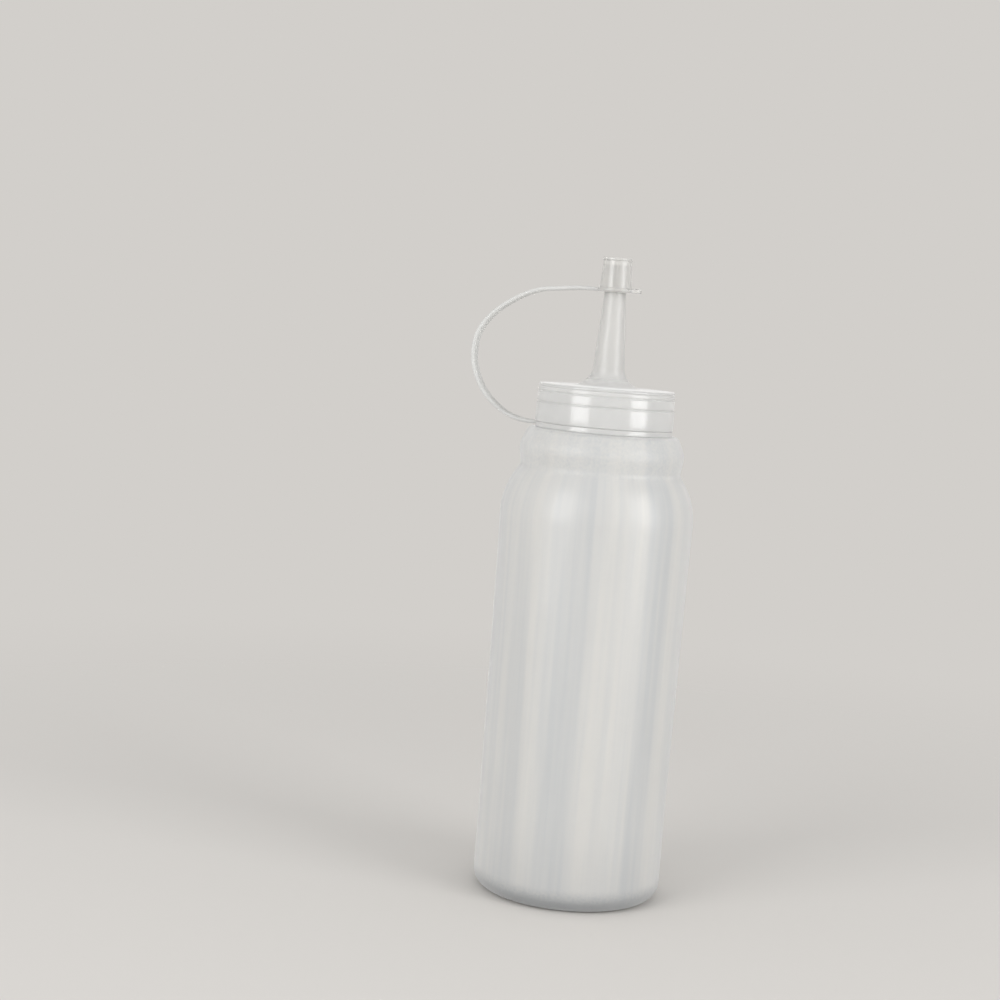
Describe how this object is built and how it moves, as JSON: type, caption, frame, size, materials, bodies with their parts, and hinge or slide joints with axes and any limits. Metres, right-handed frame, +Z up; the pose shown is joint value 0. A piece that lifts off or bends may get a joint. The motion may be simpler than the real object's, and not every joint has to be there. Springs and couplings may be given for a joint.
{
  "type": "condiment squeeze bottle",
  "caption": "Milky soft-plastic squeeze bottle for sauces with a screw cap, a slender conical nozzle and a small tip cap tethered by a strap to a ring round the neck.",
  "frame": {"origin": "on the bottle's axis, at the surface that the bottle stands on", "axes": "+Z up along the bottle's axis to the tip cap; the tether's loop leaves the tip cap towards -X, 17 degrees behind it towards +Y, and the finger tab points the other way"},
  "size_m": [0.0697, 0.0568, 0.1874],
  "materials": {
    "bottle_plastic": "natural low-density polyethylene, blow moulded, milky and half clear, soft gloss",
    "cap_plastic": "natural polyethylene, injection moulded, milky, clearer where it is thin",
    "tether_plastic": "natural polyethylene, injection moulded, milky, flexible",
    "washer_foam": "white foamed polyethylene, matte"
  },
  "bodies": {
    "bottle": {"bottle_body": "bottle_plastic"},
    "seal": {"seal_ring": "washer_foam"},
    "cap": {"screw_cap": "cap_plastic"},
    "tether": {"neck_ring": "tether_plastic", "tether_strap": "tether_plastic"},
    "tip": {"tip_cap": "tether_plastic"}
  },
  "joints": [
    {"name": "cap_lift", "type": "slide", "parent": "bottle", "child": "seal", "axis": [0, 0, 1], "range_m": [0, 0.00388]},
    {"name": "cap_turn", "type": "hinge", "parent": "seal", "child": "cap", "pos_m": [0, 0, 0.1387], "axis": [0, 0, 1], "range_deg": [0, 330.5]},
    {"name": "tether_swivel", "type": "hinge", "parent": "seal", "child": "tether", "pos_m": [0, 0, 0.1372], "axis": [0, 0, 1], "continuous": true},
    {"name": "tip_cap_pull", "type": "slide", "parent": "tether", "child": "tip", "axis": [0, 0, 1], "range_m": [0, 0.012], "deforming": ["tether_strap"]}
  ],
  "couplings": [
    {"joint": "cap_turn", "follows": "cap_lift", "rad_per_m": 1485.4}
  ]
}
